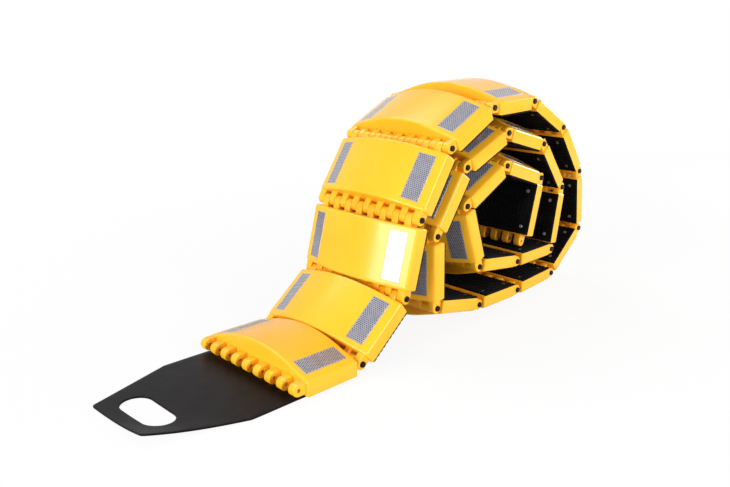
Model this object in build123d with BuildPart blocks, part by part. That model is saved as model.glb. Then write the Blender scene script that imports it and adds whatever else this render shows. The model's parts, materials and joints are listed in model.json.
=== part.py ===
"""Portable roll-up speed bump: hinged plastic links on rubber soles, rolled up, with a pull plate.

Units are millimetres and degrees. X runs along the hinge pins, across a link's arch. Y runs from the
pull plate towards the roll. Z is up. The origin is on the road, under the middle of the first link.
Every link is modelled lying flat on the road with its own middle at the origin, then set in its
place along the folded chain.
"""
import os
from math import cos, radians, sin, tan

from build123d import *

# Link: a hollow arch between two hinge lines
link_pitch = 120.0  # from one hinge pin to the next
link_width = 224.0  # across the arch, along the hinge pins
end_gap = 12.0  # from a hinge pin to the upright end of the link's body
axis_height = 16.0  # hinge pin above the road
side_height = 24.5  # top of the upright near and far sides, above the road
flank_angle = 18.5  # slope of the flanks that carry the reflective panels
flank_width = 42.0  # level width of one flank
wall = 3.5
rib = 2.5
edge_round = 4.5  # top edges of the ends, so that two links can lean back on each other
side_round = 4.0
rim_chamfer = 1.5  # lower edges of the ends, so that two links can fold under

# Rubber sole: a pad under the whole rim, with a plug that goes up into it, ribbed underneath
sole_proud = 3.0  # how far the pad stands below the rim
sole_recess = 2.0  # how far the plug goes up into the rim
sole_setback = 18.5  # from a hinge pin to the end of the plug
sole_gap = 0.4
pad_setback = 15.8  # from a hinge pin to the end of the pad, at the road
pad_slope = 2.1  # how much further the pad reaches at the rim
pad_inset = 0.8  # from the link's side to the pad's side
tread_count = 11
tread_depth = 1.6
groove_width = 2.6
groove_floor = 1.4

# Hinge: knuckles on both ends of a link, with one pin through each row
front_knuckles = 9
knuckle_inset = 3.85  # from the link's side to the face of the outermost knuckle
knuckle_gap = 0.6
knuckle_radius = 9.0
pin_radius = 2.5
pin_clearance = 0.3
pin_head_radius = 4.6
pin_head_gap = 0.15
pin_head_inset = 0.7  # from the link's side to the outer face of the head

# Self-tapping screws that hold the sole or the pull plate
screw_inset = 16.0  # from the link's side
screw_end_inset = 9.0  # from the end of the sole's plug
screw_radius = 2.0
screw_clearance = 0.15
screw_length = 14.0
head_radius = 3.6
head_height = 2.0
head_sink = 0.5
head_gap = 0.4
boss_wall = 2.6
boss_hole_spare = 1.5

# Reflective panel, one on each flank
panel_end_inset = 10.0  # from the upright end of the link's body to the panel
panel_width = 29.0
panel_edge = 14.0  # level distance from the link's side to the panel
panel_thickness = 1.1
panel_recess = 0.8
panel_gap = 0.25
panel_corner = 1.5

# Pull plate: a flat sheet under the first link, with a hand slot
plate_inset = 8.0  # from the link's side to the plate's side
plate_shoulder = 74.0  # from the first hinge line to where the plate tapers
plate_reach = 202.5  # from the first hinge line to the tip
plate_tip_width = 124.0
plate_corner = 6.0
slot_length = 96.0
slot_width = 43.0
slot_from_tip = 43.0

# Fold at each hinge of the roll, from the pull plate inwards. Plus lifts the next link, minus rolls it under.
fold_angles = [40, 37, -19, -30, -25, -28, -23, -31, -62.5, -35, -4, -10.5]
fold_angles += [-74.5, -38, -33.5, -36, -34, -51, -81.5, -7.5, -60, -86, -43, -86.5]

# Sizes that follow from those above
half_width = link_width / 2
half_pitch = link_pitch / 2
body_half = half_pitch - end_gap
rim_height = sole_proud
seat_height = sole_proud + sole_recess
crown_radius = (half_width - flank_width) / sin(radians(flank_angle))
bore_radius = pin_radius + pin_clearance
pin_head_height = knuckle_inset - pin_head_gap - pin_head_inset
row_half = half_width - knuckle_inset
knuckle_pitch = (2 * row_half + knuckle_gap) / (front_knuckles - 0.5)
knuckle_width = knuckle_pitch / 2 - knuckle_gap
rib_spacing = (half_width - wall) / 2
panel_length = 2 * (body_half - panel_end_inset)
plate_width = link_width - 2 * plate_inset
screw_x = half_width - screw_inset
screw_y = half_pitch - sole_setback - screw_end_inset
boss_radius = screw_radius + boss_wall
front_knuckle_x = [(i - (front_knuckles - 1) / 2) * knuckle_pitch for i in range(front_knuckles)]
rear_knuckle_x = [x + knuckle_pitch / 2 for x in front_knuckle_x[:-1]]
screw_spots = [(x, y) for x in (-screw_x, screw_x) for y in (-screw_y, screw_y)]


def flank_point(level: float, lift: float = 0.0) -> tuple[float, float]:
    """Point on the right flank, level mm in from the link's side and lift mm off its surface."""
    slope = radians(flank_angle)
    x = half_width - level + lift * sin(slope)
    z = side_height + level * tan(slope) + lift * cos(slope)
    return x, z


def arch_points(inset: float, base: float) -> tuple[list[tuple[float, float]], tuple[float, float]]:
    """Corners of the link's arch, from one end of the crown round to the other, and the crown's top."""
    slope = radians(flank_angle)
    radius = crown_radius - inset
    top = side_height + flank_width * tan(slope) + crown_radius * (1 - cos(slope)) - inset
    meet_x = radius * sin(slope)
    meet_z = top - radius * (1 - cos(slope))
    side_x = half_width - inset
    side_z = meet_z - (side_x - meet_x) * tan(slope)
    left = [(-meet_x, meet_z), (-side_x, side_z), (-side_x, base)]
    right = [(side_x, base), (side_x, side_z), (meet_x, meet_z)]
    return left + right, (0, top)


def panel_plane(side: int, lift: float) -> Plane:
    """Plane on a flank at the panel's middle, lift mm off the surface. side is -1 or 1."""
    middle = panel_edge + panel_width / 2 * cos(radians(flank_angle))
    x, z = flank_point(middle, lift)
    normal = (side * sin(radians(flank_angle)), 0, cos(radians(flank_angle)))
    return Plane(origin=(side * x, 0, z), x_dir=(0, 1, 0), z_dir=normal)


def make_cavity() -> Part:
    """Hollow under the shell: cells between the ribs, with the screw bosses left standing."""
    corners, top = arch_points(wall, seat_height)
    with BuildPart() as cavity:
        for end in (-1, 1):
            with BuildSketch(Plane.XZ.offset(-end * (body_half - wall))):
                with BuildLine():
                    Polyline(*corners)
                    ThreePointArc(corners[-1], top, corners[0])
                make_face()
                with Locations(*[(x, side_height) for x in (-rib_spacing, 0, rib_spacing)]):
                    Rectangle(rib, 4 * side_height, mode=Mode.SUBTRACT)
            extrude(amount=end * (body_half - wall - rib / 2))
        with Locations((0, 0, seat_height)):
            with Locations(*screw_spots):
                Cylinder(
                    boss_radius,
                    2 * side_height,
                    align=(Align.CENTER, Align.CENTER, Align.MIN),
                    mode=Mode.SUBTRACT,
                )
    return cavity.part


def make_shell() -> Part:
    """Yellow link shell: arched body, sole recess, ribs, bosses, panel recesses and hinge knuckles."""
    cavity = make_cavity()
    corners, top = arch_points(0, rim_height)
    rows = [(x, -1) for x in front_knuckle_x] + [(x, 1) for x in rear_knuckle_x]
    arm = end_gap + wall
    with BuildPart() as shell:
        with BuildSketch(Plane.XZ):
            with BuildLine():
                Polyline(*corners)
                ThreePointArc(corners[-1], top, corners[0])
            make_face()
        extrude(amount=body_half, both=True)
        side_edges = shell.edges().filter_by(Axis.Y).group_by(Axis.Z)[1]
        fillet(side_edges, radius=side_round)
        ends = shell.faces().filter_by(Axis.Y)
        tops = [edge for face in ends for edge in face.edges().sort_by(Axis.Z)[1:]]
        fillet(tops, radius=edge_round)
        rims = shell.edges().filter_by(Axis.X).group_by(Axis.Z)[0]
        chamfer(rims, length=rim_chamfer)
        with Locations((0, 0, rim_height)):
            Box(
                link_width - 2 * wall,
                link_pitch - 2 * (sole_setback - sole_gap),
                sole_recess,
                align=(Align.CENTER, Align.CENTER, Align.MIN),
                mode=Mode.SUBTRACT,
            )
        add(cavity, mode=Mode.SUBTRACT)
        with Locations((0, 0, seat_height)):
            with Locations(*screw_spots):
                Cylinder(
                    screw_radius + screw_clearance,
                    screw_length + boss_hole_spare - (seat_height - head_height - head_sink),
                    align=(Align.CENTER, Align.CENTER, Align.MIN),
                    mode=Mode.SUBTRACT,
                )
        for x, end in rows:
            with BuildSketch(Plane.YZ.offset(x - knuckle_width / 2)):
                with Locations((end * half_pitch, axis_height)):
                    Circle(knuckle_radius)
                with Locations((end * (half_pitch - arm / 2), axis_height)):
                    Rectangle(arm, 2 * knuckle_radius)
            extrude(amount=knuckle_width)
        with Locations((0, -half_pitch, axis_height), (0, half_pitch, axis_height)):
            Cylinder(bore_radius, link_width, rotation=(0, 90, 0), mode=Mode.SUBTRACT)
        for side in (-1, 1):
            with BuildSketch(panel_plane(side, 0)):
                RectangleRounded(panel_length + 2 * panel_gap, panel_width + 2 * panel_gap, panel_corner)
            extrude(amount=-panel_recess, mode=Mode.SUBTRACT)
    return shell.part


def make_sole() -> Part:
    """Rubber sole: ribbed pad under the rim, plug in its recess and four sunk screw holes."""
    low = half_pitch - pad_setback
    step = 2 * low / tread_count
    points = [(-low - pad_slope, sole_proud), (-low, 0)]
    for i in range(1, tread_count):
        middle = i * step - low
        points.append((middle - groove_width / 2, 0))
        points.append((middle - groove_floor / 2, tread_depth))
        points.append((middle + groove_floor / 2, tread_depth))
        points.append((middle + groove_width / 2, 0))
    points += [(low, 0), (low + pad_slope, sole_proud)]
    with BuildPart() as sole:
        with BuildSketch(Plane.YZ):
            with BuildLine():
                Polyline(*points, close=True)
            make_face()
        extrude(amount=half_width - pad_inset, both=True)
        with Locations((0, 0, sole_proud)):
            Box(
                link_width - 2 * (wall + sole_gap),
                link_pitch - 2 * sole_setback,
                sole_recess,
                align=(Align.CENTER, Align.CENTER, Align.MIN),
            )
        screw_holes()
    return sole.part


def screw_holes() -> None:
    """Cut the four sunk screw holes in the current part, from the road side."""
    sunk = head_height + head_sink
    with Locations(*screw_spots):
        Cylinder(screw_radius + screw_clearance, 4 * seat_height, mode=Mode.SUBTRACT)
        Cylinder(head_radius + head_gap, 2 * sunk, mode=Mode.SUBTRACT)


def make_screws() -> Part:
    """Four pan-head screws, driven up from the road side."""
    with BuildPart() as screws:
        with Locations(*[(x, y, head_sink) for x, y in screw_spots]):
            Cylinder(head_radius, head_height, align=(Align.CENTER, Align.CENTER, Align.MIN))
            Cylinder(
                screw_radius,
                head_height + screw_length,
                align=(Align.CENTER, Align.CENTER, Align.MIN),
            )
        crown = screws.faces().filter_by(Axis.Z).group_by(Axis.Z)[0].edges()
        chamfer(crown, length=head_height / 4)
    return screws.part


def make_pin() -> Part:
    """Hinge pin through the knuckles at the front end of a link, with a round head at each end."""
    seat = row_half + pin_head_gap
    head_x = seat + pin_head_height / 2
    with BuildPart() as pin:
        with Locations((0, -half_pitch, axis_height)):
            Cylinder(pin_radius, 2 * seat, rotation=(0, 90, 0))
        with Locations((-head_x, -half_pitch, axis_height), (head_x, -half_pitch, axis_height)):
            Cylinder(pin_head_radius, pin_head_height, rotation=(0, 90, 0))
        ends = pin.faces().filter_by(Axis.X).sort_by(Axis.X)
        chamfer(ends[0].edges() + ends[-1].edges(), length=pin_head_height / 5)
    return pin.part


def make_panels() -> Part:
    """Two reflective panels, bedded in the recesses of the flanks."""
    with BuildPart() as panels:
        for side in (-1, 1):
            with BuildSketch(panel_plane(side, -panel_recess)):
                RectangleRounded(panel_length, panel_width, panel_corner)
            extrude(amount=panel_thickness)
    return panels.part


def make_pull_plate() -> Part:
    """Flat pull plate with a tapered nose and a hand slot, screwed under the first link."""
    rear = half_pitch - sole_setback
    shoulder = -half_pitch - plate_shoulder
    tip = -half_pitch - plate_reach
    with BuildPart() as plate:
        with BuildSketch():
            with BuildLine():
                Polyline(
                    (-plate_width / 2, rear),
                    (-plate_width / 2, shoulder),
                    (-plate_tip_width / 2, tip),
                    (plate_tip_width / 2, tip),
                    (plate_width / 2, shoulder),
                    (plate_width / 2, rear),
                    close=True,
                )
            make_face()
            with Locations((0, tip + slot_from_tip)):
                SlotOverall(slot_length, slot_width, mode=Mode.SUBTRACT)
        extrude(amount=sole_proud)
        nose = plate.edges().filter_by(Axis.Z).group_by(Axis.Y)[0]
        fillet(nose, radius=plate_corner)
        screw_holes()
    return plate.part


def link_places() -> list[Location]:
    """Place of each link's middle along the folded chain, walking from hinge to hinge."""
    places = []
    turn = 0.0
    hinge_y = -half_pitch
    hinge_z = axis_height
    for fold in [0.0] + fold_angles:
        turn += fold
        along_y = cos(radians(turn))
        along_z = sin(radians(turn))
        middle_y = hinge_y + half_pitch * along_y + axis_height * along_z
        middle_z = hinge_z + half_pitch * along_z - axis_height * along_y
        places.append(Location((0, middle_y, middle_z), (turn, 0, 0)))
        hinge_y += link_pitch * along_y
        hinge_z += link_pitch * along_z
    return places


def save(name: str, part: Part) -> None:
    """Label a piece and write it to its own file."""
    part.label = name
    export_step(part, f"parts/{name}.step")


os.makedirs("parts", exist_ok=True)
shell = make_shell()
sole = make_sole()
screws = make_screws()
pin = make_pin()
panels = make_panels()

for number, place in enumerate(link_places(), start=1):
    link = f"link_{number:02d}"
    save(f"{link}_shell", shell.moved(place))
    if number > 1:
        fittings = Compound(children=[piece.moved(place) for piece in (sole, screws, pin, panels)])
        save(f"{link}_fittings", fittings)
    else:
        save(f"{link}_reflectors", panels.moved(place))
        save("pull_plate", make_pull_plate().moved(place))
        save("pull_plate_screws", screws.moved(place))
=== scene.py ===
"""Looks of the roll-up speed bump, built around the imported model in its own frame.

Lengths are in metres. Each link's pieces are made once, lying flat on the road with the link's middle
at the origin, and then copied to every link's place along the folded chain.
"""
import json
import logging
from dataclasses import dataclass, field
from enum import Enum
from math import atan2, cos, pi, radians, sin, tan

import bmesh
import bpy
from mathutils import Matrix, Vector

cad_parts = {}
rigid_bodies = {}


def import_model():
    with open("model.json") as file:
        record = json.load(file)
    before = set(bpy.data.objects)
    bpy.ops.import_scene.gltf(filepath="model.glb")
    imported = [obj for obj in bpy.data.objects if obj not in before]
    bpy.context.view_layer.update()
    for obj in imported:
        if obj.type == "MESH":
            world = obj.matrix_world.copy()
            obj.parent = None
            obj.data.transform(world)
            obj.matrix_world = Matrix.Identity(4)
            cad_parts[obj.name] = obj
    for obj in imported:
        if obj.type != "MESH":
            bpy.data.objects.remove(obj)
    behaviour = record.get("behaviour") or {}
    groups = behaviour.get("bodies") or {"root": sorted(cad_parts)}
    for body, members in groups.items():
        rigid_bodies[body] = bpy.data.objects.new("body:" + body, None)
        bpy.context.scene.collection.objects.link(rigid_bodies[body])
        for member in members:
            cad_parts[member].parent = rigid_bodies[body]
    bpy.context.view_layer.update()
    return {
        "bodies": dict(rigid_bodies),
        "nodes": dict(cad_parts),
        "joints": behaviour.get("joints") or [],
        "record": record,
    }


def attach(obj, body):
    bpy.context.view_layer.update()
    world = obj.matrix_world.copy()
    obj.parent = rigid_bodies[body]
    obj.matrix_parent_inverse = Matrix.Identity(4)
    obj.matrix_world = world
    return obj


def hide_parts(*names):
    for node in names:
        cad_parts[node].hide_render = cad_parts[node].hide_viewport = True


log = logging.getLogger("speed_bump")

MM = 0.001
IMAGE_WIDTH = 730
SENSOR_WIDTH = 36.0
MERGE = 1e-6
NOISE_MIDDLE = (0.3, 0.7)
WHITE = (1.0, 1.0, 1.0, 1.0)
FLAT = Matrix.Identity(4)
Pair = tuple[float, float]
Point = tuple[float, float, float]
Outline = list[Pair]
Loop = list[Point]
Constants = tuple[tuple[str, float], ...]
Mesh = bpy.types.Mesh
Material = bpy.types.Material
Socket = bpy.types.NodeSocket


class Slot(Enum):
    """Material slots of the record."""

    SHELL = "shell_yellow"
    SOLE = "sole_rubber"
    PLATE = "plate_sheet"
    STEEL = "zinc_steel"
    FILM = "reflective_film"


class End(Enum):
    """The two hinge ends of a link, by the sign of their Y."""

    FRONT = -1
    REAR = 1


def added(tree: bpy.types.NodeTree, kind: str, **values: object) -> bpy.types.Node:
    """Add a node and set its constants.

    Args:
        tree: the tree it goes to.
        kind: Blender's name of the node type.
        values: constants by socket name, with underscores for blanks.

    Returns:
        The node.
    """
    node = tree.nodes.new(kind)
    for name, value in values.items():
        node.inputs[name.replace("_", " ")].default_value = value
    return node


@dataclass(frozen=True)
class Noise:
    """Noise on Object coordinates: cells per metre, octaves and the scale of each axis."""

    scale: float
    detail: float
    stretch: Point = (1, 1, 1)


@dataclass(frozen=True)
class Grain:
    """Bump layer over a noise: its share of the bump and its height."""

    noise: Noise
    strength: float
    depth: float


class ShaderTree:
    """A material's node tree with short calls for the nodes that the finishes share."""

    def __init__(self, name: str) -> None:
        """Start a material with a Principled shader.

        Args:
            name: material name.
        """
        self.material = bpy.data.materials.new(name)
        self.material.use_nodes = True
        self.tree = self.material.node_tree
        self.shader = self.tree.nodes["Principled BSDF"]
        self.coords = self.tree.nodes.new("ShaderNodeTexCoord")

    def join(self, socket: Socket, target: str) -> None:
        """Link a socket to one of the shader's inputs."""
        self.tree.links.new(socket, self.shader.inputs[target])

    def noise(self, kind: Noise) -> Socket:
        """Add the nodes of a noise.

        Args:
            kind: the noise.

        Returns:
            The noise value socket.
        """
        mapping = added(self.tree, "ShaderNodeMapping", Scale=kind.stretch)
        cloud = added(self.tree, "ShaderNodeTexNoise", Scale=kind.scale, Detail=kind.detail)
        self.tree.links.new(self.coords.outputs["Object"], mapping.inputs["Vector"])
        self.tree.links.new(mapping.outputs["Vector"], cloud.inputs["Vector"])
        return cloud.outputs["Fac"]

    def blend(self, value: Socket, stops: Pair, tones: tuple[Point, Point]) -> Socket:
        """Blend two tones over a value.

        Args:
            value: the socket to read.
            stops: values at which each tone is pure.
            tones: the two colours.

        Returns:
            The colour socket.
        """
        node = self.tree.nodes.new("ShaderNodeValToRGB")
        for element, place, rgb in zip(node.color_ramp.elements, stops, tones):
            element.position = place
            element.color = (*rgb, 1.0)
        self.tree.links.new(value, node.inputs["Fac"])
        return node.outputs["Color"]

    def spread(self, value: Socket, limits: Pair) -> Socket:
        """Map the middle of a noise to a range.

        Args:
            value: noise socket.
            limits: results at the low and the high end of the noise's middle.

        Returns:
            The mapped value socket.
        """
        node = added(self.tree, "ShaderNodeMapRange", From_Min=NOISE_MIDDLE[0], From_Max=NOISE_MIDDLE[1],
                     To_Min=limits[0], To_Max=limits[1])
        self.tree.links.new(value, node.inputs["Value"])
        return node.outputs["Result"]

    def bump(self, grain: Grain) -> None:
        """Add a bump layer on top of those already there.

        Args:
            grain: the layer.
        """
        node = added(self.tree, "ShaderNodeBump", Strength=grain.strength, Distance=grain.depth)
        self.tree.links.new(self.noise(grain.noise), node.inputs["Height"])
        target = self.shader.inputs["Normal"]
        if target.is_linked:
            self.tree.links.new(target.links[0].from_socket, node.inputs["Normal"])
        self.tree.links.new(node.outputs["Normal"], target)


@dataclass(frozen=True)
class Finish:
    """Base of the finishes: two tones and a roughness, each over its own noise, and layers of grain."""

    name: str
    tones: tuple[Point, Point]
    tone_stops: Pair
    tone_noise: Noise
    roughness: Pair
    rough_noise: Noise
    grain: tuple[Grain, ...] = ()
    constants: Constants = ()

    def build(self) -> Material:
        """Make the material.

        Returns:
            The material.
        """
        tree = ShaderTree(self.name)
        tree.join(tree.blend(tree.noise(self.tone_noise), self.tone_stops, self.tones), "Base Color")
        tree.join(tree.spread(tree.noise(self.rough_noise), self.roughness), "Roughness")
        for layer in self.grain:
            tree.bump(layer)
        for socket, value in self.constants:
            tree.shader.inputs[socket].default_value = value
        return tree.material


@dataclass(frozen=True)
class MouldedYellow(Finish):
    """Satin injection-moulded shell plastic, with faint flow marks and a fine spark-eroded grain."""

    name: str = "moulded_yellow"
    tones: tuple[Point, Point] = ((0.92, 0.440, 0.017), (0.95, 0.480, 0.024))
    tone_stops: Pair = (0.32, 0.68)
    tone_noise: Noise = Noise(9.0, 4.0, (1.0, 0.45, 1.0))
    roughness: Pair = (0.19, 0.25)
    rough_noise: Noise = Noise(60.0, 3.0)
    grain: tuple[Grain, ...] = (Grain(Noise(1500.0, 2.0), 0.06, 0.08 * MM),
                                Grain(Noise(14.0, 1.0), 0.06, 0.4 * MM))
    constants: Constants = (("Specular IOR Level", 0.28), ("Subsurface Weight", 0.05),
                            ("Subsurface Scale", 4 * MM))


@dataclass(frozen=True)
class StuddedRubber(Finish):
    """Matt black sole rubber with grey dust in patches."""

    name: str = "ribbed_rubber"
    tones: tuple[Point, Point] = ((0.003, 0.003, 0.0032), (0.007, 0.007, 0.007))
    tone_stops: Pair = (0.42, 0.72)
    tone_noise: Noise = Noise(34.0, 6.0)
    roughness: Pair = (0.62, 0.80)
    rough_noise: Noise = Noise(90.0, 4.0)
    grain: tuple[Grain, ...] = (Grain(Noise(1100.0, 3.0), 0.25, 0.2 * MM),)
    constants: Constants = (("Specular IOR Level", 0.07),)


@dataclass(frozen=True)
class BlackSheet(Finish):
    """Satin black plate sheet with fine scuffs drawn along the pull."""

    name: str = "black_sheet"
    tones: tuple[Point, Point] = ((0.0040, 0.0028, 0.0034), (0.008, 0.0066, 0.0074))
    tone_stops: Pair = (0.45, 0.78)
    tone_noise: Noise = Noise(55.0, 6.0, (5.0, 0.6, 1.0))
    roughness: Pair = (0.30, 0.44)
    rough_noise: Noise = Noise(26.0, 5.0)
    grain: tuple[Grain, ...] = (Grain(Noise(900.0, 3.0), 0.18, 0.15 * MM),
                                Grain(Noise(7.0, 2.0), 0.20, 1.5 * MM))
    constants: Constants = (("Specular IOR Level", 0.07),)


@dataclass(frozen=True)
class ZincSteel(Finish):
    """Zinc-plated steel of the screws, slightly cloudy; its tones are dimmed as painted shade."""

    name: str = "zinc_steel"
    # painted shade: both tones sit below bright zinc so that the screw heads read as lying in the roll's
    # shade
    tones: tuple[Point, Point] = ((0.28, 0.28, 0.28), (0.46, 0.46, 0.47))
    tone_stops: Pair = (0.35, 0.62)
    tone_noise: Noise = Noise(420.0, 4.0)
    roughness: Pair = (0.24, 0.42)
    rough_noise: Noise = Noise(600.0, 2.0)
    constants: Constants = (("Metallic", 1.0),)


@dataclass(frozen=True)
class BlackSteel(Finish):
    """Black steel of the hinge pins, rubbed here and there, partly painted shade of the knuckle bores."""

    name: str = "black_steel"
    # partly painted shade: the pin heads' near-black is partly their own colour and partly the shade of the
    # bores they close
    tones: tuple[Point, Point] = ((0.004, 0.0035, 0.0035), (0.014, 0.012, 0.012))
    tone_stops: Pair = (0.45, 0.75)
    tone_noise: Noise = Noise(260.0, 4.0, (0.2, 1.0, 1.0))
    roughness: Pair = (0.42, 0.60)
    rough_noise: Noise = Noise(500.0, 2.0)
    constants: Constants = (("Metallic", 0.4), ("Specular IOR Level", 0.15))


@dataclass(frozen=True)
class FilmCell(Finish):
    """Blue-grey cells of the reflective film under its clear face, seen by plain light."""

    name: str = "film_cell"
    tones: tuple[Point, Point] = ((0.020, 0.025, 0.050), (0.036, 0.036, 0.066))
    tone_stops: Pair = (0.35, 0.65)
    tone_noise: Noise = Noise(70.0, 3.0)
    roughness: Pair = (0.16, 0.30)
    rough_noise: Noise = Noise(300.0, 2.0)
    constants: Constants = (("Specular IOR Level", 0.5), ("Coat Weight", 1.0), ("Coat Roughness", 0.06),
                            ("Coat IOR", 1.55))


@dataclass(frozen=True)
class FilmSeal(FilmCell):
    """Pale seal lines between the film's cells, under the same clear face."""

    name: str = "film_seal"
    tones: tuple[Point, Point] = ((0.24, 0.24, 0.28), (0.31, 0.305, 0.345))
    tone_noise: Noise = Noise(120.0, 3.0)
    roughness: Pair = (0.30, 0.45)
    rough_noise: Noise = Noise(400.0, 2.0)


@dataclass(frozen=True)
class Finishes:
    """The object's materials, made once."""

    shell: Material = field(default_factory=lambda: MouldedYellow().build())
    rubber: Material = field(default_factory=lambda: StuddedRubber().build())
    sheet: Material = field(default_factory=lambda: BlackSheet().build())
    steel: Material = field(default_factory=lambda: ZincSteel().build())
    pin: Material = field(default_factory=lambda: BlackSteel().build())
    cell: Material = field(default_factory=lambda: FilmCell().build())
    seal: Material = field(default_factory=lambda: FilmSeal().build())


def rectangle(x: float, y: float, z: float) -> Loop:
    """Rectangle of half sizes x and y at height z."""
    return [(-x, -y, z), (x, -y, z), (x, y, z), (-x, y, z)]


def rounding(radius: float, steps: int) -> list[Pair]:
    """Quarter round up to an end face, as pairs of what is short of that face and the inset."""
    turns = [pi / 2 * i / steps for i in range(steps + 1)]
    return [(radius * (1 - sin(t)), radius * (1 - cos(t))) for t in turns]


def as_mesh(name: str, bm: bmesh.types.BMesh) -> Mesh:
    """Turn a bmesh into a mesh and free it.

    Args:
        name: mesh name.
        bm: the bmesh.

    Returns:
        The mesh.
    """
    mesh = bpy.data.meshes.new(name)
    bm.to_mesh(mesh)
    bm.free()
    return mesh


def loft(name: str, loops: list[Loop], ring: bool = False) -> Mesh:
    """Skin closed loops of equal length, in order.

    Args:
        name: mesh name.
        loops: the loops, each a list of points.
        ring: join the last loop to the first; otherwise both ends are capped.

    Returns:
        A closed mesh with outward faces.
    """
    bm = bmesh.new()
    rows = [[bm.verts.new(point) for point in loop] for loop in loops]
    pairs = list(zip(rows, rows[1:]))
    if ring:
        pairs.append((rows[-1], rows[0]))
    else:
        bm.faces.new(rows[0])
        bm.faces.new(rows[-1])
    for a, b in pairs:
        for i in range(len(a)):
            j = (i + 1) % len(a)
            bm.faces.new((a[i], a[j], b[j], b[i]))
    bmesh.ops.recalc_face_normals(bm, faces=bm.faces)
    return as_mesh(name, bm)


def turned(name: str, profile: Outline, steps: int) -> Mesh:
    """Solid of revolution about Z.

    Args:
        name: mesh name.
        profile: radius and height of each ring, from one end to the other.
        steps: points around.

    Returns:
        A closed mesh.
    """
    angles = [2 * pi * i / steps for i in range(steps)]
    return loft(name, [[(r * cos(a), r * sin(a), z) for a in angles] for r, z in profile])


def joined(name: str, parts: list[tuple[Mesh, Matrix, int]], materials: list[Material],
           sharp: float) -> Mesh:
    """Join meshes into one smooth-shaded mesh.

    Args:
        name: mesh name.
        parts: mesh, place and material index of each part.
        materials: the materials, by index.
        sharp: edges steeper than this many degrees stay sharp.

    Returns:
        The joined mesh.
    """
    bm = bmesh.new()
    for mesh, place, index in parts:
        moved = mesh.copy()
        moved.transform(place)
        start = len(bm.faces)
        bm.from_mesh(moved)
        bm.faces.ensure_lookup_table()
        for face in bm.faces[start:]:
            face.material_index = index
            face.smooth = True
        bpy.data.meshes.remove(moved)
    result = as_mesh(name, bm)
    for material in materials:
        result.materials.append(material)
    result.set_sharp_from_angle(angle=radians(sharp))
    return result


def in_scene(name: str, data: bpy.types.ID) -> bpy.types.Object:
    """Put data into the scene.

    Args:
        name: object name.
        data: mesh, curve, light or camera.

    Returns:
        The new object.
    """
    item = bpy.data.objects.new(name, data)
    bpy.context.scene.collection.objects.link(item)
    return item


def evaluated(item: bpy.types.Object) -> Mesh:
    """Take the plain mesh of an object with its modifiers, and remove the object.

    Args:
        item: the object.

    Returns:
        Its mesh.
    """
    graph = bpy.context.evaluated_depsgraph_get()
    mesh = bpy.data.meshes.new_from_object(item.evaluated_get(graph))
    bpy.data.objects.remove(item)
    return mesh


def cut(mesh: Mesh, cutter: Mesh) -> Mesh:
    """Take one mesh out of another.

    Args:
        mesh: the body.
        cutter: what is taken out.

    Returns:
        What is left.
    """
    body = in_scene("cut_body", mesh)
    tool = in_scene("cut_tool", cutter)
    knife = body.modifiers.new("cut", "BOOLEAN")
    knife.operation = "DIFFERENCE"
    knife.solver = "EXACT"
    knife.use_self = True
    knife.object = tool
    result = evaluated(body)
    bpy.data.objects.remove(tool)
    return result


class NodeWork:
    """Base of the Geometry Nodes trees: sockets, nodes and a run on a mesh."""

    name = "tree"

    def __init__(self) -> None:
        """Build the tree once."""
        self.tree = bpy.data.node_groups.new(self.name, "GeometryNodeTree")
        self.given = self.tree.nodes.new("NodeGroupInput")
        self.tree.interface.new_socket("Geometry", in_out="OUTPUT", socket_type="NodeSocketGeometry")
        self.result = self.tree.nodes.new("NodeGroupOutput")
        self.keys: dict[str, str] = {}
        self.add_input("Geometry", "NodeSocketGeometry")
        self.fill()

    def fill(self) -> None:
        """Add the nodes of the tree."""
        raise NotImplementedError

    def add_input(self, label: str, kind: str) -> None:
        """Add a named input and keep its identifier."""
        socket = self.tree.interface.new_socket(label, in_out="INPUT", socket_type=kind)
        self.keys[label] = socket.identifier

    def node(self, kind: str) -> bpy.types.Node:
        """New node of a kind."""
        return self.tree.nodes.new(kind)

    def wire(self, source: Socket, target: Socket) -> None:
        """Link two sockets."""
        self.tree.links.new(source, target)

    def maths(self, operation: str, a: Socket | float, b: Socket | float) -> Socket:
        """Math node on two values, each a socket or a number.

        Args:
            operation: Blender's name of the operation.
            a: first value.
            b: second value.

        Returns:
            The result socket.
        """
        node = self.node("ShaderNodeMath")
        node.operation = operation
        for value, socket in zip((a, b), node.inputs):
            if isinstance(value, Socket):
                self.wire(value, socket)
            else:
                socket.default_value = value
        return node.outputs[0]

    def place(self, points: Socket) -> None:
        """Put the incoming piece on points, realize it, and give it its material.

        Args:
            points: where the copies go.
        """
        copies = self.node("GeometryNodeInstanceOnPoints")
        real = self.node("GeometryNodeRealizeInstances")
        finish = self.node("GeometryNodeSetMaterial")
        self.wire(points, copies.inputs["Points"])
        self.wire(self.given.outputs["Geometry"], copies.inputs["Instance"])
        self.wire(copies.outputs["Instances"], real.inputs["Geometry"])
        self.wire(real.outputs["Geometry"], finish.inputs["Geometry"])
        self.wire(self.given.outputs["Material"], finish.inputs["Material"])
        self.wire(finish.outputs["Geometry"], self.result.inputs["Geometry"])

    def run(self, mesh: Mesh, **values: object) -> Mesh:
        """Run the tree on a mesh.

        Args:
            mesh: the piece that is repeated.
            values: inputs by label, with underscores for blanks.

        Returns:
            The finished plain mesh.
        """
        item = in_scene(self.name, mesh)
        work = item.modifiers.new(self.name, "NODES")
        work.node_group = self.tree
        for label, value in values.items():
            work[self.keys[label.replace("_", " ")]] = value
        return evaluated(item)


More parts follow.
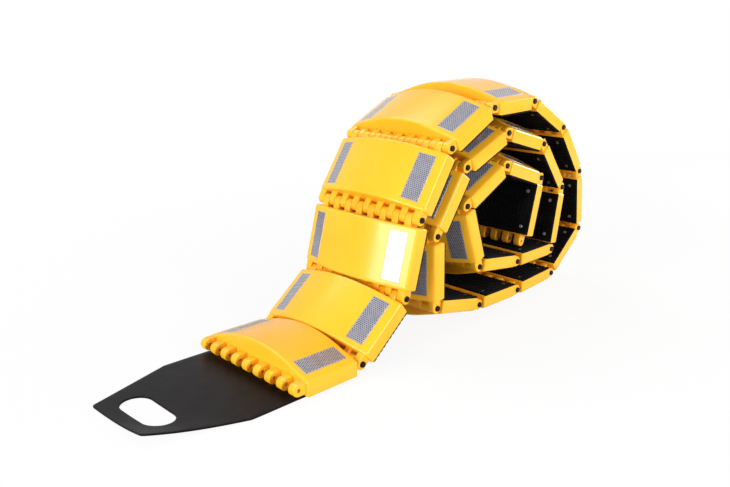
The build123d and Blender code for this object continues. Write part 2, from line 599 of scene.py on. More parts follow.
class RowOfPieces(NodeWork):
    """Repeats a piece in a straight row: knuckles, sole studs and screws."""

    name = "row_of_pieces"

    def fill(self) -> None:
        """Instance the piece on a line of points."""
        self.add_input("Count", "NodeSocketInt")
        self.add_input("Start", "NodeSocketVector")
        self.add_input("Step", "NodeSocketVector")
        self.add_input("Material", "NodeSocketMaterial")
        line = self.node("GeometryNodeMeshLine")
        line.mode = "OFFSET"
        self.wire(self.given.outputs["Count"], line.inputs["Count"])
        self.wire(self.given.outputs["Start"], line.inputs["Start Location"])
        self.wire(self.given.outputs["Step"], line.inputs["Offset"])
        self.place(line.outputs["Mesh"])


class Honeycomb(NodeWork):
    """Fills a rectangle with cells in staggered columns."""

    name = "honeycomb"
    index_nudge = 0.01
    row_tolerance = 0.1

    def fill(self) -> None:
        """Lay a grid, shift every second column by half a cell, and drop what sticks out."""
        for label in ("Columns", "Rows"):
            self.add_input(label, "NodeSocketInt")
        for label in ("Column Step", "Row Step"):
            self.add_input(label, "NodeSocketFloat")
        self.add_input("Material", "NodeSocketMaterial")
        given = self.given.outputs
        grid = self.node("GeometryNodeMeshGrid")
        for count, step, size, vertices in (("Columns", "Column Step", "Size X", "Vertices X"),
                                            ("Rows", "Row Step", "Size Y", "Vertices Y")):
            gaps = self.maths("SUBTRACT", given[count], 1.0)
            self.wire(self.maths("MULTIPLY", gaps, given[step]), grid.inputs[size])
            self.wire(given[count], grid.inputs[vertices])
        index = self.node("GeometryNodeInputIndex").outputs["Index"]
        nudged = self.maths("ADD", index, self.index_nudge)
        column = self.maths("FLOOR", self.maths("DIVIDE", nudged, given["Rows"]), 0.0)
        odd = self.maths("MODULO", column, 2.0)
        row = self.maths("MODULO", index, given["Rows"])
        last = self.maths("COMPARE", row, self.maths("SUBTRACT", given["Rows"], 1.0))
        last.node.inputs[2].default_value = self.row_tolerance
        offset = self.node("ShaderNodeCombineXYZ")
        half = self.maths("MULTIPLY", given["Row Step"], 0.5)
        self.wire(self.maths("MULTIPLY", odd, half), offset.inputs["Y"])
        move = self.node("GeometryNodeSetPosition")
        self.wire(grid.outputs["Mesh"], move.inputs["Geometry"])
        self.wire(offset.outputs["Vector"], move.inputs["Offset"])
        drop = self.node("GeometryNodeDeleteGeometry")
        drop.domain = "POINT"
        self.wire(move.outputs["Geometry"], drop.inputs["Geometry"])
        self.wire(self.maths("MULTIPLY", odd, last), drop.inputs["Selection"])
        self.place(drop.outputs["Geometry"])


@dataclass
class LinkShell:
    """Arched yellow link body with its two rows of hinge knuckles."""

    pitch: float = 120 * MM
    width: float = 224 * MM
    end_gap: float = 12 * MM
    axis_height: float = 16 * MM
    side_height: float = 24.5 * MM
    flank_angle: float = radians(18.5)
    flank_width: float = 42 * MM
    rim: float = 3 * MM
    seat: float = 5 * MM
    wall: float = 3.5 * MM
    side_round: float = 5 * MM
    edge_round: float = 3.4 * MM
    rim_chamfer: float = 1.5 * MM
    inner_row: float = 20 * MM
    sole_half: float = 41.9 * MM
    panel_half: float = 38.25 * MM
    panel_near: float = 13.76 * MM
    panel_far: float = 41.74 * MM
    recess: float = 0.8 * MM
    draft: float = 0.12 * MM
    knuckle_radius: float = 9 * MM
    knuckle_round: float = 0.9 * MM
    bore: float = 2.8 * MM
    bore_chamfer: float = 0.4 * MM
    front_knuckles: int = 9
    knuckle_pitch: float = 25.518 * MM
    knuckle_width: float = 12.16 * MM
    gate_radius: float = 3.4 * MM
    gate_land: float = 3.1 * MM
    gate_dimple: float = 1.2 * MM
    gate_floor: float = 1.0 * MM
    gate_middle: float = 0.2 * MM
    gate_root: float = 0.4 * MM
    gate_height: float = 0.12 * MM
    crown_steps: int = 7
    round_steps: int = 6
    knuckle_steps: int = 18
    corner_steps: int = 3
    gate_steps: int = 20
    sharp: float = 38.0

    @property
    def body_half(self) -> float:
        """From the link's middle to the upright end of its body."""
        return self.pitch / 2 - self.end_gap

    @property
    def crown_radius(self) -> float:
        """Radius of the crown between the flanks."""
        return (self.width / 2 - self.flank_width) / sin(self.flank_angle)

    @property
    def crest(self) -> float:
        """Height of the crown's top."""
        rise = self.crown_radius * (1 - cos(self.flank_angle))
        return self.side_height + self.flank_width * tan(self.flank_angle) + rise

    def flank_height(self, x: float) -> float:
        """Height of the flank above a point x from the middle."""
        return self.side_height + (self.width / 2 - x) * tan(self.flank_angle)

    def half_section(self, inset: float, panel: bool, seat: bool, lift: float) -> Outline:
        """Right half of the body's section, from the crest down to the middle of the underside.

        Args:
            inset: how far the outline is drawn in.
            panel: the panel recess is cut at this section.
            seat: the sole's recess is cut at this section.
            lift: how far the rim is raised.

        Returns:
            Points (x, z).
        """
        slope = self.flank_angle
        half = self.width / 2
        points = []
        for i in range(self.crown_steps + 1):
            turn = slope * i / self.crown_steps
            radius = self.crown_radius - inset
            points.append((radius * sin(turn), self.crest - self.crown_radius + radius * cos(turn)))
        drop = inset / cos(slope)
        deep = self.recess if panel else 0.0
        inner = half - self.panel_far
        outer = half - self.panel_near
        for x, sunk in ((inner, 0.0), (inner + self.draft, deep), ((inner + outer) / 2, deep),
                        (outer - self.draft, deep), (outer, 0.0)):
            points.append((x - sunk * sin(slope), self.flank_height(x) - drop - sunk * cos(slope)))
        centre_x = half - self.side_round
        centre_z = self.flank_height(centre_x) - self.side_round / cos(slope)
        for i in range(self.round_steps + 1):
            turn = (pi / 2 - slope) * (1 - i / self.round_steps)
            radius = self.side_round - inset
            points.append((centre_x + radius * cos(turn), centre_z + radius * sin(turn)))
        side = half - inset
        rim = self.rim + lift
        inside = min(half - self.wall, side - 2 * self.draft)
        top = self.seat if seat else rim
        points += [(side, rim), (inside, rim), (inside - self.draft, top), (0.0, top)]
        return points

    def body(self) -> Mesh:
        """Loft the arched body with rounded edges, panel recesses and the sole's recess.

        Returns:
            A closed mesh.
        """
        half_rows = [(0.0, 0.0, True, True), (self.inner_row, 0.0, True, True),
                     (self.panel_half - self.draft, 0.0, True, True), (self.panel_half, 0.0, False, True),
                     (self.sole_half - self.draft, 0.0, False, True), (self.sole_half, 0.0, False, False)]
        for short, inset in rounding(self.edge_round, self.round_steps):
            half_rows.append((self.body_half - short, inset, False, False))
        rows = [(-y, *rest) for y, *rest in reversed(half_rows[1:])] + half_rows
        loops = []
        for y, inset, panel, seat in rows:
            lift = max(0.0, self.rim_chamfer - (self.body_half - abs(y)))
            half = self.half_section(inset, panel, seat, lift)
            right = [(x, y, z) for x, z in half]
            left = [(-x, y, z) for x, z in reversed(half[1:-1])]
            loops.append(right + left)
        return loft("link_body", loops)

    def knuckle_outline(self, inset: float) -> Outline:
        """Side outline of a knuckle and its arm.

        Args:
            inset: how far the outline is drawn in.

        Returns:
            Points (y, z).
        """
        arm = self.end_gap + self.wall / 2
        radius = self.knuckle_radius - inset
        turns = [pi / 2 + pi * i / self.knuckle_steps for i in range(self.knuckle_steps + 1)]
        arc = [(radius * cos(t), radius * sin(t)) for t in turns]
        return arc + [(arm / 2, -radius), (arm, -radius), (arm, 0.0), (arm, radius), (arm / 2, radius)]

    def bore_outline(self, radius: float) -> Outline:
        """Bore outline with a point for each point of the side outline."""
        turns = [atan2(z, y) for y, z in self.knuckle_outline(0.0)]
        return [(radius * cos(t), radius * sin(t)) for t in turns]

    def knuckle(self) -> Mesh:
        """Loft one bored knuckle with its arm, about the hinge axis, pointing to -Y.

        Returns:
            A closed mesh.
        """
        half = self.knuckle_width / 2
        sides = []
        for short, inset in rounding(self.knuckle_round, self.corner_steps):
            sides.append((half - short, self.knuckle_outline(inset)))
        sides.append((half, self.bore_outline(self.bore + self.bore_chamfer)))
        sides.append((half - self.bore_chamfer, self.bore_outline(self.bore)))
        near = [[(x, y, z) for y, z in shape] for x, shape in sides]
        far = [[(-x, y, z) for y, z in shape] for x, shape in sides]
        return loft("knuckle", far + near[::-1], ring=True)

    def gate_mark(self) -> Mesh:
        """Turn the small trimmed moulding mark that sits on the crest.

        Returns:
            A closed mesh.
        """
        top = self.gate_height
        profile = [(self.gate_radius, -self.gate_root), (self.gate_radius, top / 2), (self.gate_land, top),
                   (self.gate_dimple, top), (self.gate_floor, top / 4), (self.gate_middle, top / 4)]
        return turned("gate_mark", profile, self.gate_steps)

    def template(self, row: RowOfPieces, finish: Material) -> Mesh:
        """Whole shell, lying flat with the link's middle at the origin.

        Args:
            row: tree that repeats the knuckles.
            finish: shell material.

        Returns:
            The joined mesh.
        """
        parts = [(self.body(), FLAT, 0)]
        for end, count in ((End.FRONT, self.front_knuckles), (End.REAR, self.front_knuckles - 1)):
            start = -(count - 1) / 2 * self.knuckle_pitch
            knuckles = row.run(self.knuckle(), Count=count, Start=(start, 0, 0),
                               Step=(self.knuckle_pitch, 0, 0), Material=finish)
            turn = Matrix.Rotation(pi if end is End.REAR else 0.0, 4, "Z")
            place = Matrix.Translation((0, end.value * self.pitch / 2, self.axis_height)) @ turn
            parts.append((knuckles, place, 0))
        parts.append((self.gate_mark(), Matrix.Translation((0, 0, self.crest)), 0))
        return joined("link_shell", parts, [finish], self.sharp)


@dataclass(frozen=True)
class ScrewPlaces:
    """The four screw places under a link, by half their spacing across and along it."""

    x: float = 96 * MM
    y: float = 32.5 * MM

    def repeat(self, row: RowOfPieces, piece: Mesh, finish: Material) -> Mesh:
        """Put a piece at the four places.

        Args:
            row: tree that makes a row.
            piece: mesh of one piece.
            finish: its material.

        Returns:
            The four copies as one mesh.
        """
        pair = row.run(piece, Count=2, Start=(-self.x, 0, 0), Step=(2 * self.x, 0, 0), Material=finish)
        return row.run(pair, Count=2, Start=(0, -self.y, 0), Step=(0, 2 * self.y, 0), Material=finish)


@dataclass
class RubberSole:
    """Rubber sole under a link: a pad over the rim with rows of square studs."""

    half_length: float = 44.2 * MM
    half_width: float = 112 * MM
    rim: float = 3 * MM
    slope: float = 2.1 * MM
    along: int = 11
    across: int = 27
    stud_depth: float = 1.6 * MM
    stud_root: float = 0.4 * MM
    stud_round: float = 0.25 * MM
    stud_draft: float = 0.15 * MM
    stud_tip: float = 0.4 * MM
    groove: float = 2.2 * MM
    places: ScrewPlaces = ScrewPlaces()
    pocket_radius: float = 4 * MM
    pocket_depth: float = 2.5 * MM
    pocket_below: float = 2 * MM
    pocket_steps: int = 18
    plain_sharp: float = 38.0
    sharp: float = 25.0

    def steps(self) -> Pair:
        """From stud to stud across and along the sole, with the outer studs flush with its edges."""
        return ((2 * self.half_width + self.groove) / self.across,
                (2 * self.half_length + self.groove) / self.along)

    def pad(self) -> Mesh:
        """Loft the plain upper part of the sole, its ends sloped back towards the road.

        Returns:
            A closed mesh.
        """
        loops = []
        for z in (self.stud_depth, self.rim):
            loops.append(rectangle(self.half_width, self.half_length + self.slope * z / self.rim, z))
        return loft("sole_pad", loops)

    def stud(self) -> Mesh:
        """Loft one square stud, its base let into the pad.

        Returns:
            A closed mesh.
        """
        x, y = [(step - self.groove) / 2 for step in self.steps()]
        levels = ((self.stud_depth + self.stud_root, 0.0), (self.stud_round, self.stud_draft),
                  (0.0, self.stud_tip))
        return loft("sole_stud", [rectangle(x - shrink, y - shrink, z) for z, shrink in levels])

    def template(self, row: RowOfPieces, finish: Material) -> Mesh:
        """Whole sole with its studs and four screw pockets.

        Args:
            row: tree that repeats the studs and the pockets.
            finish: rubber material.

        Returns:
            The sole's mesh.
        """
        step_x, step_y = self.steps()
        line = row.run(self.stud(), Count=self.across, Start=((1 - self.across) / 2 * step_x, 0, 0),
                       Step=(step_x, 0, 0), Material=finish)
        studs = row.run(line, Count=self.along, Start=(0, (1 - self.along) / 2 * step_y, 0),
                        Step=(0, step_y, 0), Material=finish)
        plain = joined("sole", [(self.pad(), FLAT, 0), (studs, FLAT, 0)], [finish], self.plain_sharp)
        profile = [(self.pocket_radius, -self.pocket_below), (self.pocket_radius, self.pocket_depth)]
        pockets = self.places.repeat(row, turned("pocket", profile, self.pocket_steps), finish)
        return joined("rubber_sole", [(cut(plain, pockets), FLAT, 0)], [finish], self.sharp)


@dataclass
class SoleScrews:
    """Four pan-head cross-recess screws, heads down.

    The dome's points are shares of the head's radius and heights in millimetres. The recess has a depth
    in millimetres, and its arms' reach and half width as shares of that radius.
    """

    places: ScrewPlaces = ScrewPlaces()
    head_radius: float = 3.6 * MM
    head_bottom: float = 0.5 * MM
    head_height: float = 2 * MM
    shank_radius: float = 2 * MM
    length: float = 14 * MM
    point: float = 2 * MM
    point_radius: float = 0.2 * MM
    dome: tuple[Pair, ...] = ((0.3, 0.0), (0.55, 0.06), (0.78, 0.22), (0.93, 0.55), (1.0, 1.1))
    recess: tuple[Point, ...] = ((-0.4, 0.58, 0.13), (0.25, 0.52, 0.12), (1.0, 0.22, 0.09))
    steps: int = 18
    sharp: float = 32.0

    def cross(self, reach: float, half: float) -> Outline:
        """Outline of the cross recess at one depth.

        Args:
            reach: from the middle to the end of an arm.
            half: half an arm's width.

        Returns:
            Points (x, y), three for each arm.
        """
        points = [(reach, -half), (reach, half), (half, half)]
        for _ in range(3):
            points += [(-y, x) for x, y in points[-3:]]
        return points

    def screw(self) -> Mesh:
        """Turn one screw with a domed head and cut its cross recess.

        Returns:
            A closed mesh.
        """
        r = self.head_radius
        z = self.head_bottom
        under = z + self.head_height
        profile = [(share * r, z + rise * MM) for share, rise in self.dome]
        profile += [(r, under), (self.shank_radius, under),
                    (self.shank_radius, under + self.length - self.point),
                    (self.point_radius, under + self.length)]
        loops = []
        for depth, reach, half in self.recess:
            loops.append([(x, y, z + depth * MM) for x, y in self.cross(reach * r, half * r)])
        return cut(turned("screw", profile, self.steps), loft("cross_recess", loops))

    def template(self, row: RowOfPieces, finish: Material) -> Mesh:
        """Four screws at their places under a link.

        Args:
            row: tree that repeats the screws.
            finish: steel material.

        Returns:
            The screws' mesh.
        """
        screws = self.places.repeat(row, self.screw(), finish)
        return joined("sole_screws", [(screws, FLAT, 0)], [finish], self.sharp)


@dataclass
class HingePin:
    """Steel pin through the front row of knuckles of a link, with a round head at each end."""

    radius: float = 2.5 * MM
    seat: float = 108.3 * MM
    head_radius: float = 4.6 * MM
    head_height: float = 3 * MM
    chamfer: float = 0.6 * MM
    cap_share: float = 0.5
    steps: int = 24
    sharp: float = 30.0

    def template(self, shell: LinkShell, finish: Material) -> Mesh:
        """Pin along the hinge axis.

        Args:
            shell: link that carries the pin.
            finish: steel material.

        Returns:
            The pin's mesh.
        """
        head = self.head_radius
        rim = head - self.chamfer
        end = self.seat + self.head_height
        half = [(self.radius, self.seat), (head, self.seat), (head, end - self.chamfer), (rim, end),
                (self.cap_share * rim, end)]
        profile = [(across, -along) for across, along in reversed(half)] + half
        axis = Matrix.Translation((0, End.FRONT.value * shell.pitch / 2, shell.axis_height))
        place = axis @ Matrix.Rotation(pi / 2, 4, "Y")
        return joined("hinge_pin", [(turned("pin", profile, self.steps), place, 0)], [finish], self.sharp)


@dataclass
class ReflectivePanels:
    """Two strips of cellular reflective film, bedded in the flanks of a link."""

    length: float = 76 * MM
    width: float = 29 * MM
    thickness: float = 1.1 * MM
    recess: float = 0.8 * MM
    corner: float = 1.5 * MM
    bevel: float = 0.2 * MM
    cell: float = 3.4 * MM
    seal: float = 1.2 * MM
    cell_height: float = 0.1 * MM
    cell_taper: float = 0.9
    edge: float = 14 * MM
    corner_steps: int = 4
    sharp: float = 30.0

    @property
    def proud(self) -> float:
        """How far the cells stand above the flank."""
        return self.thickness - self.recess

    def strip_outline(self, inset: float) -> Outline:
        """Rounded rectangle of the strip.

        Args:
            inset: how far the outline is drawn in.

        Returns:
            Points (x, y).
        """
        x = self.length / 2 - self.corner
        y = self.width / 2 - self.corner
        r = self.corner - inset
        points = []
        for cx, cy, first in ((x, y, 0), (-x, y, 1), (-x, -y, 2), (x, -y, 3)):
            for i in range(self.corner_steps + 1):
                turn = pi / 2 * (first + i / self.corner_steps)
                points.append((cx + r * cos(turn), cy + r * sin(turn)))
        return points

    def slab(self) -> Mesh:
        """Loft the strip with rounded corners, the flank's surface at z = 0.

        Returns:
            A closed mesh.
        """
        face = self.proud - self.cell_height
        levels = ((-self.recess, 0.0), (face - self.bevel, 0.0), (face, self.bevel))
        return loft("film_strip", [[(x, y, z) for x, y in self.strip_outline(inset)] for z, inset in levels])

    def hexagon(self) -> Mesh:
        """Loft one raised cell of the film.

        Returns:
            A closed mesh.
        """
        across = (self.cell - self.seal) / 2 / cos(pi / 6)
        foot = self.proud - 2 * self.cell_height
        loops = []
        for z, radius in ((foot, across), (self.proud, across * self.cell_taper)):
            loops.append([(radius * cos(pi / 3 * i), radius * sin(pi / 3 * i), z) for i in range(6)])
        return loft("film_cell", loops)

    def template(self, comb: Honeycomb, shell: LinkShell, seal: Material, cell: Material) -> Mesh:
        """Both panels of a link.

        Args:
            comb: tree that lays the cells.
            shell: link that carries the panels.
            seal: material of the strip.
            cell: material of the cells.

        Returns:
            The panels' mesh.
        """
        column = self.cell * cos(pi / 6)
        cells = comb.run(self.hexagon(), Columns=int((self.length - self.cell) / column) + 1,
                         Rows=int((self.width - self.cell) / self.cell) + 1,
                         Column_Step=column, Row_Step=self.cell, Material=cell)
        slope = shell.flank_angle
        x = shell.width / 2 - (self.edge + self.width / 2 * cos(slope))
        along = Vector((0, 1, 0))
        parts = []
        for side in (-1, 1):
            normal = Vector((side * sin(slope), 0, cos(slope)))
            place = Matrix((along, normal.cross(along), normal)).transposed().to_4x4()
            place.translation = (side * x, 0, shell.flank_height(x))
            parts += [(self.slab(), place, 0), (cells, place, 1)]
        return joined("film_panels", parts, [seal, cell], self.sharp)


@dataclass
class PullPlate:
    """Thin black pull plate with a tapered nose, a hand slot and one lifted corner."""

    width: float = 208 * MM
    rear: float = 41.5 * MM
    shoulder: float = -134 * MM
    tip: float = -262.5 * MM
    tip_width: float = 124 * MM
    corner: float = 6 * MM
    thickness: float = 3 * MM
    edge: float = 0.7 * MM
    slot_length: float = 96 * MM
    slot_width: float = 43 * MM
    slot_y: float = -219.5 * MM
    lift: float = 12 * MM
    lift_reach: float = 107 * MM
    lift_power: float = 3.2
    lift_towards: Pair = (0.62, -0.78)
    corner_steps: int = 6
    slot_steps: int = 16
    edge_steps: int = 2
    bend_lines: int = 26
    bend_along: float = 6 * MM
    bend_across: float = 8 * MM
    sharp: float = 40.0

    def nose_corner(self, side: int) -> Outline:
        """Rounded nose corner, from the taper to the tip.

        Args:
            side: sign of the corner's X.

        Returns:
            Points (x, y).
        """
        nose = self.tip_width / 2
        slope = atan2(self.shoulder - self.tip, self.width / 2 - nose)
        reach = self.corner * tan((pi - slope) / 2) / 2
        a = Vector((side * (nose + reach * cos(slope)), self.tip + reach * sin(slope)))
        b = Vector((side * nose, self.tip))
        c = Vector((side * (nose - reach), self.tip))
        shares = [i / self.corner_steps for i in range(self.corner_steps + 1)]
        return [tuple(a * (1 - t) ** 2 + b * 2 * t * (1 - t) + c * t ** 2) for t in shares]

    def outline(self) -> Outline:
        """Outer outline with rounded nose corners.

        Returns:
            Points (x, y).
        """
        half = self.width / 2
        points = [(half, self.rear), (-half, self.rear), (-half, self.shoulder)]
        points += self.nose_corner(-1) + self.nose_corner(1)[::-1]
        points.append((half, self.shoulder))
        return points

    def slot(self) -> Outline:
        """Outline of the hand slot.

        Returns:
            Points (x, y).
        """
        r = self.slot_width / 2
        x = self.slot_length / 2 - r
        points = []
        for side in (1, -1):
            for i in range(self.slot_steps + 1):
                turn = pi / 2 - pi * i / self.slot_steps
                points.append((side * (x + r * cos(turn)), self.slot_y + side * r * sin(turn)))
        return points

    def sheet(self) -> Mesh:
        """Fill the outline as a flat sheet with softened edges.

        Returns:
            The sheet's mesh.
        """
        curve = bpy.data.curves.new("plate_outline", "CURVE")
        curve.dimensions = "2D"
        curve.fill_mode = "BOTH"
        curve.extrude = self.thickness / 2 - self.edge
        curve.bevel_depth = self.edge
        curve.bevel_resolution = self.edge_steps
        curve.offset = -self.edge
        for shape in (self.outline(), self.slot()):
            line = curve.splines.new("POLY")
            line.points.add(len(shape) - 1)
            for point, (x, y) in zip(line.points, shape):
                point.co = (x, y, 0, 1)
            line.use_cyclic_u = True
        mesh = evaluated(in_scene("plate_outline", curve))
        mesh.transform(Matrix.Translation((0, 0, self.thickness / 2)))
        return mesh

    def raised(self, x: float, y: float) -> float:
        """Lift of the sheet at a point: it grows towards the near nose corner.

        Args:
            x: the point's X.
            y: the point's Y.

        Returns:
            The lift.
        """
        corner = Vector((self.tip_width / 2, self.tip))
        short = (corner - Vector((x, y))).dot(Vector(self.lift_towards))
        share = max(0.0, 1 - short / self.lift_reach)
        return self.lift * share ** self.lift_power

    def template(self, finish: Material) -> Mesh:
        """Plate with its lifted corner.

        Args:
            finish: sheet material.

        Returns:
            The plate's mesh.
        """
        bm = bmesh.new()
        bm.from_mesh(self.sheet())
        bmesh.ops.remove_doubles(bm, verts=bm.verts, dist=MERGE)
        for i in range(self.bend_lines):
            spot_y = self.tip + i * self.bend_along
            spot_x = (i - self.bend_lines // 2) * self.bend_across
            for spot, normal in (((0, spot_y, 0), (0, 1, 0)), ((spot_x, 0, 0), (1, 0, 0))):
                everything = bm.verts[:] + bm.edges[:] + bm.faces[:]
                bmesh.ops.bisect_plane(bm, geom=everything, dist=MERGE, plane_co=spot, plane_no=normal)
        for vertex in bm.verts:
            vertex.co.z += self.raised(vertex.co.x, vertex.co.y)
        bmesh.ops.recalc_face_normals(bm, faces=bm.faces)
        return joined("plate_sheet", [(as_mesh("plate", bm), FLAT, 0)], [finish], self.sharp)


@dataclass(frozen=True)
class LinkPlace:
    """Where a link lies along the folded chain."""

    number: int
    front: Vector
    rear: Vector
    axis_height: float

    @property
    def name(self) -> str:
        """Name of the link's body."""
        return f"link_{self.number:02d}"

    @property
    def matrix(self) -> Matrix:
        """Place of a link modelled flat at the origin.

        Returns:
            The matrix.
        """
        run = self.rear - self.front
        turn = Matrix.Rotation(atan2(run.z, run.y), 4, "X")
        middle = (self.front + self.rear) / 2
        return Matrix.Translation(middle) @ turn @ Matrix.Translation((0, 0, -self.axis_height))


class RolledBump:
    """The whole bump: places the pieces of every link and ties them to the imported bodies."""

    def __init__(self, frame: dict, finishes: Finishes) -> None:
        """Make one of each piece.

        Args:
            finishes: the materials.
        """
        self.frame = frame
        self.shell = LinkShell()
        row = RowOfPieces()
        self.shell_mesh = self.shell.template(row, finishes.shell)
        self.sole_mesh = RubberSole().template(row, finishes.rubber)
        self.screw_mesh = SoleScrews().template(row, finishes.steel)
        self.pin_mesh = HingePin().template(self.shell, finishes.pin)
        self.panel_mesh = ReflectivePanels().template(Honeycomb(), self.shell, finishes.seal, finishes.cell)
        self.plate_mesh = PullPlate().template(finishes.sheet)

    def places(self) -> list[LinkPlace]:
        """Find every link's place from the record's hinge points.

        Returns:
            The places, from the pull plate's end.
        """
        record = self.frame["record"]
        mounts = {mount["name"]: mount["pos_m"] for mount in record["mounts"]}
        spots = [mounts["front_hinge_bore"]]
        spots += [joint["pos_m"] for joint in record["behaviour"]["joints"]]
        spots.append(mounts["tail_hinge_bore"])
        points = [Vector((0, y, z)) for _, y, z in spots]
        ends = enumerate(zip(points, points[1:]), start=1)
        return [LinkPlace(number, front, rear, self.shell.axis_height) for number, (front, rear) in ends]

    def add(self, name: str, template: Mesh, place: LinkPlace, node: str, slot: Slot) -> None:
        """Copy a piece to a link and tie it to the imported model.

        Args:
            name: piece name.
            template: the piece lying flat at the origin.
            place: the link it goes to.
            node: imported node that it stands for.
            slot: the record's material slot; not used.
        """
        mesh = template.copy()
        mesh.name = name
        mesh.transform(place.matrix)
        item = in_scene(name, mesh)
        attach(item, place.name)
        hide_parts(node)
        log.info("%s on %s: %d faces", name, place.name, len(mesh.polygons))

    def build(self) -> None:
        """Place the pieces of every link."""
        for place in self.places():
            link = place.name
            self.add(f"{link}_arch", self.shell_mesh, place, f"{link}_shell", Slot.SHELL)
            if place.number == 1:
                self.add(f"{link}_film", self.panel_mesh, place, f"{link}_reflectors", Slot.FILM)
                self.add("pull_plate_sheet", self.plate_mesh, place, "pull_plate", Slot.PLATE)
                self.add("pull_plate_heads", self.screw_mesh, place, "pull_plate_screws", Slot.STEEL)
                continue
            fittings = f"{link}_fittings"
            self.add(f"{link}_film", self.panel_mesh, place, fittings, Slot.FILM)
            self.add(f"{link}_sole", self.sole_mesh, place, fittings, Slot.SOLE)
            self.add(f"{link}_heads", self.screw_mesh, place, fittings, Slot.STEEL)
            self.add(f"{link}_pin", self.pin_mesh, place, fittings, Slot.STEEL)


@dataclass(frozen=True)
class Lamp:
    """Square soft lamp: its name, place, side length and power in watts."""

    name: str
    at: Point
    size: float
    watts: float

    def build(self, aim: Point) -> None:
        """Add the lamp.

        Args:
            aim: the point it looks at.
        """
        light = bpy.data.lights.new(self.name, "AREA")
        light.size = self.size
        light.energy = self.watts
        item = in_scene(self.name, light)
        item.location = self.at
        item.rotation_euler = (Vector(self.at) - Vector(aim)).to_track_quat("Z", "Y").to_euler()


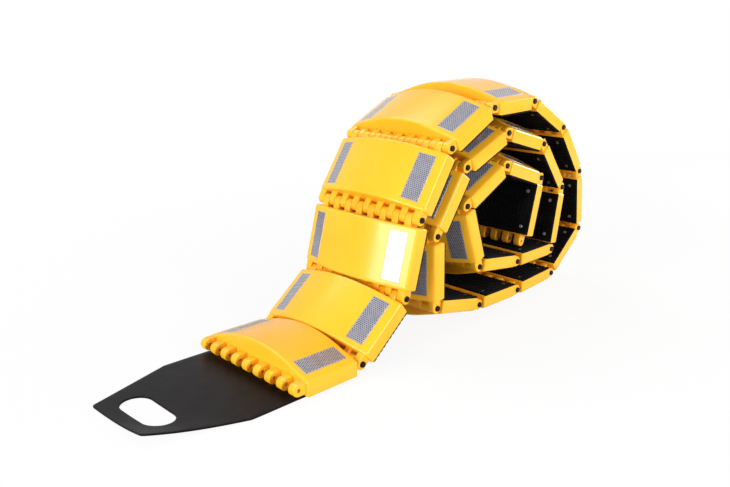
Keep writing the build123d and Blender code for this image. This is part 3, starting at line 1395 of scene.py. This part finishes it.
@dataclass
class Studio:
    """White floor, soft lamps and the photograph's camera."""

    camera_at: Point = (0.7481, -0.6157, 0.4552)
    azimuth: float = radians(43.508)
    elevation: float = radians(15.542)
    roll: float = radians(1.618)
    focal_pixels: float = 705.51
    near_clip: float = 10 * MM
    aim: Point = (0.0, 0.25, 0.15)
    lamps: tuple[Lamp, ...] = (Lamp("key", (0.0, -2.3, 0.75), 1.2, 65.0),
                               Lamp("side", (2.3, 0.3, 0.9), 1.2, 49.0),
                               Lamp("top", (-1.2, 0.2, 2.3), 1.5, 30.0),
                               Lamp("back", (0.7, 2.9, 0.9), 1.0, 38.0))
    floor_half: float = 9.0
    floor_drop: float = 0.8 * MM
    floor_grey: float = 0.80
    shadow_centre: Point = (0.0, 1.0, 0.0)
    shadow_reach: Point = (1.5, 3.0, 1.0)
    shadow_edge: float = 0.5
    white_far: float = 1.0
    white_near: float = 0.9
    surround: float = 0.12

    def camera(self) -> None:
        """Camera at the photograph's place."""
        a = self.azimuth
        e = self.elevation
        back = Vector((sin(a) * cos(e), -cos(a) * cos(e), sin(e)))
        right = Vector((cos(a), sin(a), 0))
        up = back.cross(right)
        across = right * cos(self.roll) + up * sin(self.roll)
        upward = up * cos(self.roll) - right * sin(self.roll)
        lens = bpy.data.cameras.new("photo_camera")
        lens.sensor_fit = "HORIZONTAL"
        lens.sensor_width = SENSOR_WIDTH
        lens.lens = SENSOR_WIDTH * self.focal_pixels / IMAGE_WIDTH
        lens.clip_start = self.near_clip
        item = in_scene("photo_camera", lens)
        item.matrix_world = Matrix((across, upward, back)).transposed().to_4x4()
        item.location = self.camera_at
        bpy.context.scene.camera = item

    def floor_paint(self) -> Material:
        """Make the floor's paint: white to the camera, with a light shadow near the object.

        Returns:
            The material.
        """
        material = bpy.data.materials.new("floor_white")
        material.use_nodes = True
        tree = material.node_tree
        tree.nodes.clear()
        grey = self.floor_grey
        paint = added(tree, "ShaderNodeBsdfDiffuse", Color=(grey, grey, grey, 1))
        glow = added(tree, "ShaderNodeEmission")
        path = added(tree, "ShaderNodeLightPath")
        coords = added(tree, "ShaderNodeTexCoord")
        around = added(tree, "ShaderNodeMapping", Location=self.shadow_centre, Scale=self.shadow_reach)
        around.vector_type = "TEXTURE"
        fade = added(tree, "ShaderNodeTexGradient")
        fade.gradient_type = "QUADRATIC_SPHERE"
        white = added(tree, "ShaderNodeMapRange", From_Max=self.shadow_edge, To_Min=self.white_far,
                      To_Max=self.white_near)
        share = added(tree, "ShaderNodeMath")
        share.operation = "MULTIPLY"
        mix = added(tree, "ShaderNodeMixShader")
        out = added(tree, "ShaderNodeOutputMaterial")
        for source, target in ((coords.outputs["Object"], around.inputs["Vector"]),
                               (around.outputs["Vector"], fade.inputs["Vector"]),
                               (fade.outputs["Fac"], white.inputs["Value"]),
                               (path.outputs["Is Camera Ray"], share.inputs[0]),
                               (white.outputs["Result"], share.inputs[1]),
                               (share.outputs[0], mix.inputs["Fac"]),
                               (paint.outputs[0], mix.inputs[1]),
                               (glow.outputs[0], mix.inputs[2]),
                               (mix.outputs[0], out.inputs["Surface"])):
            tree.links.new(source, target)
        return material

    def floor(self) -> None:
        """Pale floor just under the object."""
        mesh = bpy.data.meshes.new("floor")
        corners = rectangle(self.floor_half, self.floor_half, -self.floor_drop)
        mesh.from_pydata(corners, [], [(0, 1, 2, 3)])
        mesh.materials.append(self.floor_paint())
        in_scene("floor", mesh)

    def world(self) -> None:
        """Soft grey surround that the camera and mirrors see as white."""
        world = bpy.data.worlds.new("surround")
        world.use_nodes = True
        tree = world.node_tree
        tree.nodes.clear()
        soft = added(tree, "ShaderNodeBackground", Color=WHITE, Strength=self.surround)
        white = added(tree, "ShaderNodeBackground", Color=WHITE)
        path = added(tree, "ShaderNodeLightPath")
        either = added(tree, "ShaderNodeMath")
        either.operation = "MAXIMUM"
        any_ray = added(tree, "ShaderNodeMath")
        any_ray.operation = "MAXIMUM"
        mix = added(tree, "ShaderNodeMixShader")
        out = added(tree, "ShaderNodeOutputWorld")
        for source, target in ((path.outputs["Is Camera Ray"], either.inputs[0]),
                               (path.outputs["Is Glossy Ray"], either.inputs[1]),
                               (either.outputs[0], any_ray.inputs[0]),
                               (path.outputs["Is Transmission Ray"], any_ray.inputs[1]),
                               (any_ray.outputs[0], mix.inputs["Fac"]),
                               (soft.outputs[0], mix.inputs[1]),
                               (white.outputs[0], mix.inputs[2]),
                               (mix.outputs[0], out.inputs["Surface"])):
            tree.links.new(source, target)
        bpy.context.scene.world = world

    def build(self) -> None:
        """Set the stage, lamps, camera and view."""
        self.floor()
        self.world()
        for lamp in self.lamps:
            lamp.build(self.aim)
        self.camera()
        bpy.context.scene.view_settings.view_transform = "Standard"


def main() -> None:
    """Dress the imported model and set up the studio."""
    logging.basicConfig(level=logging.INFO, format="%(name)s: %(message)s")
    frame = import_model()
    RolledBump(frame, Finishes()).build()
    Studio().build()


if __name__ == "__main__":
    main()
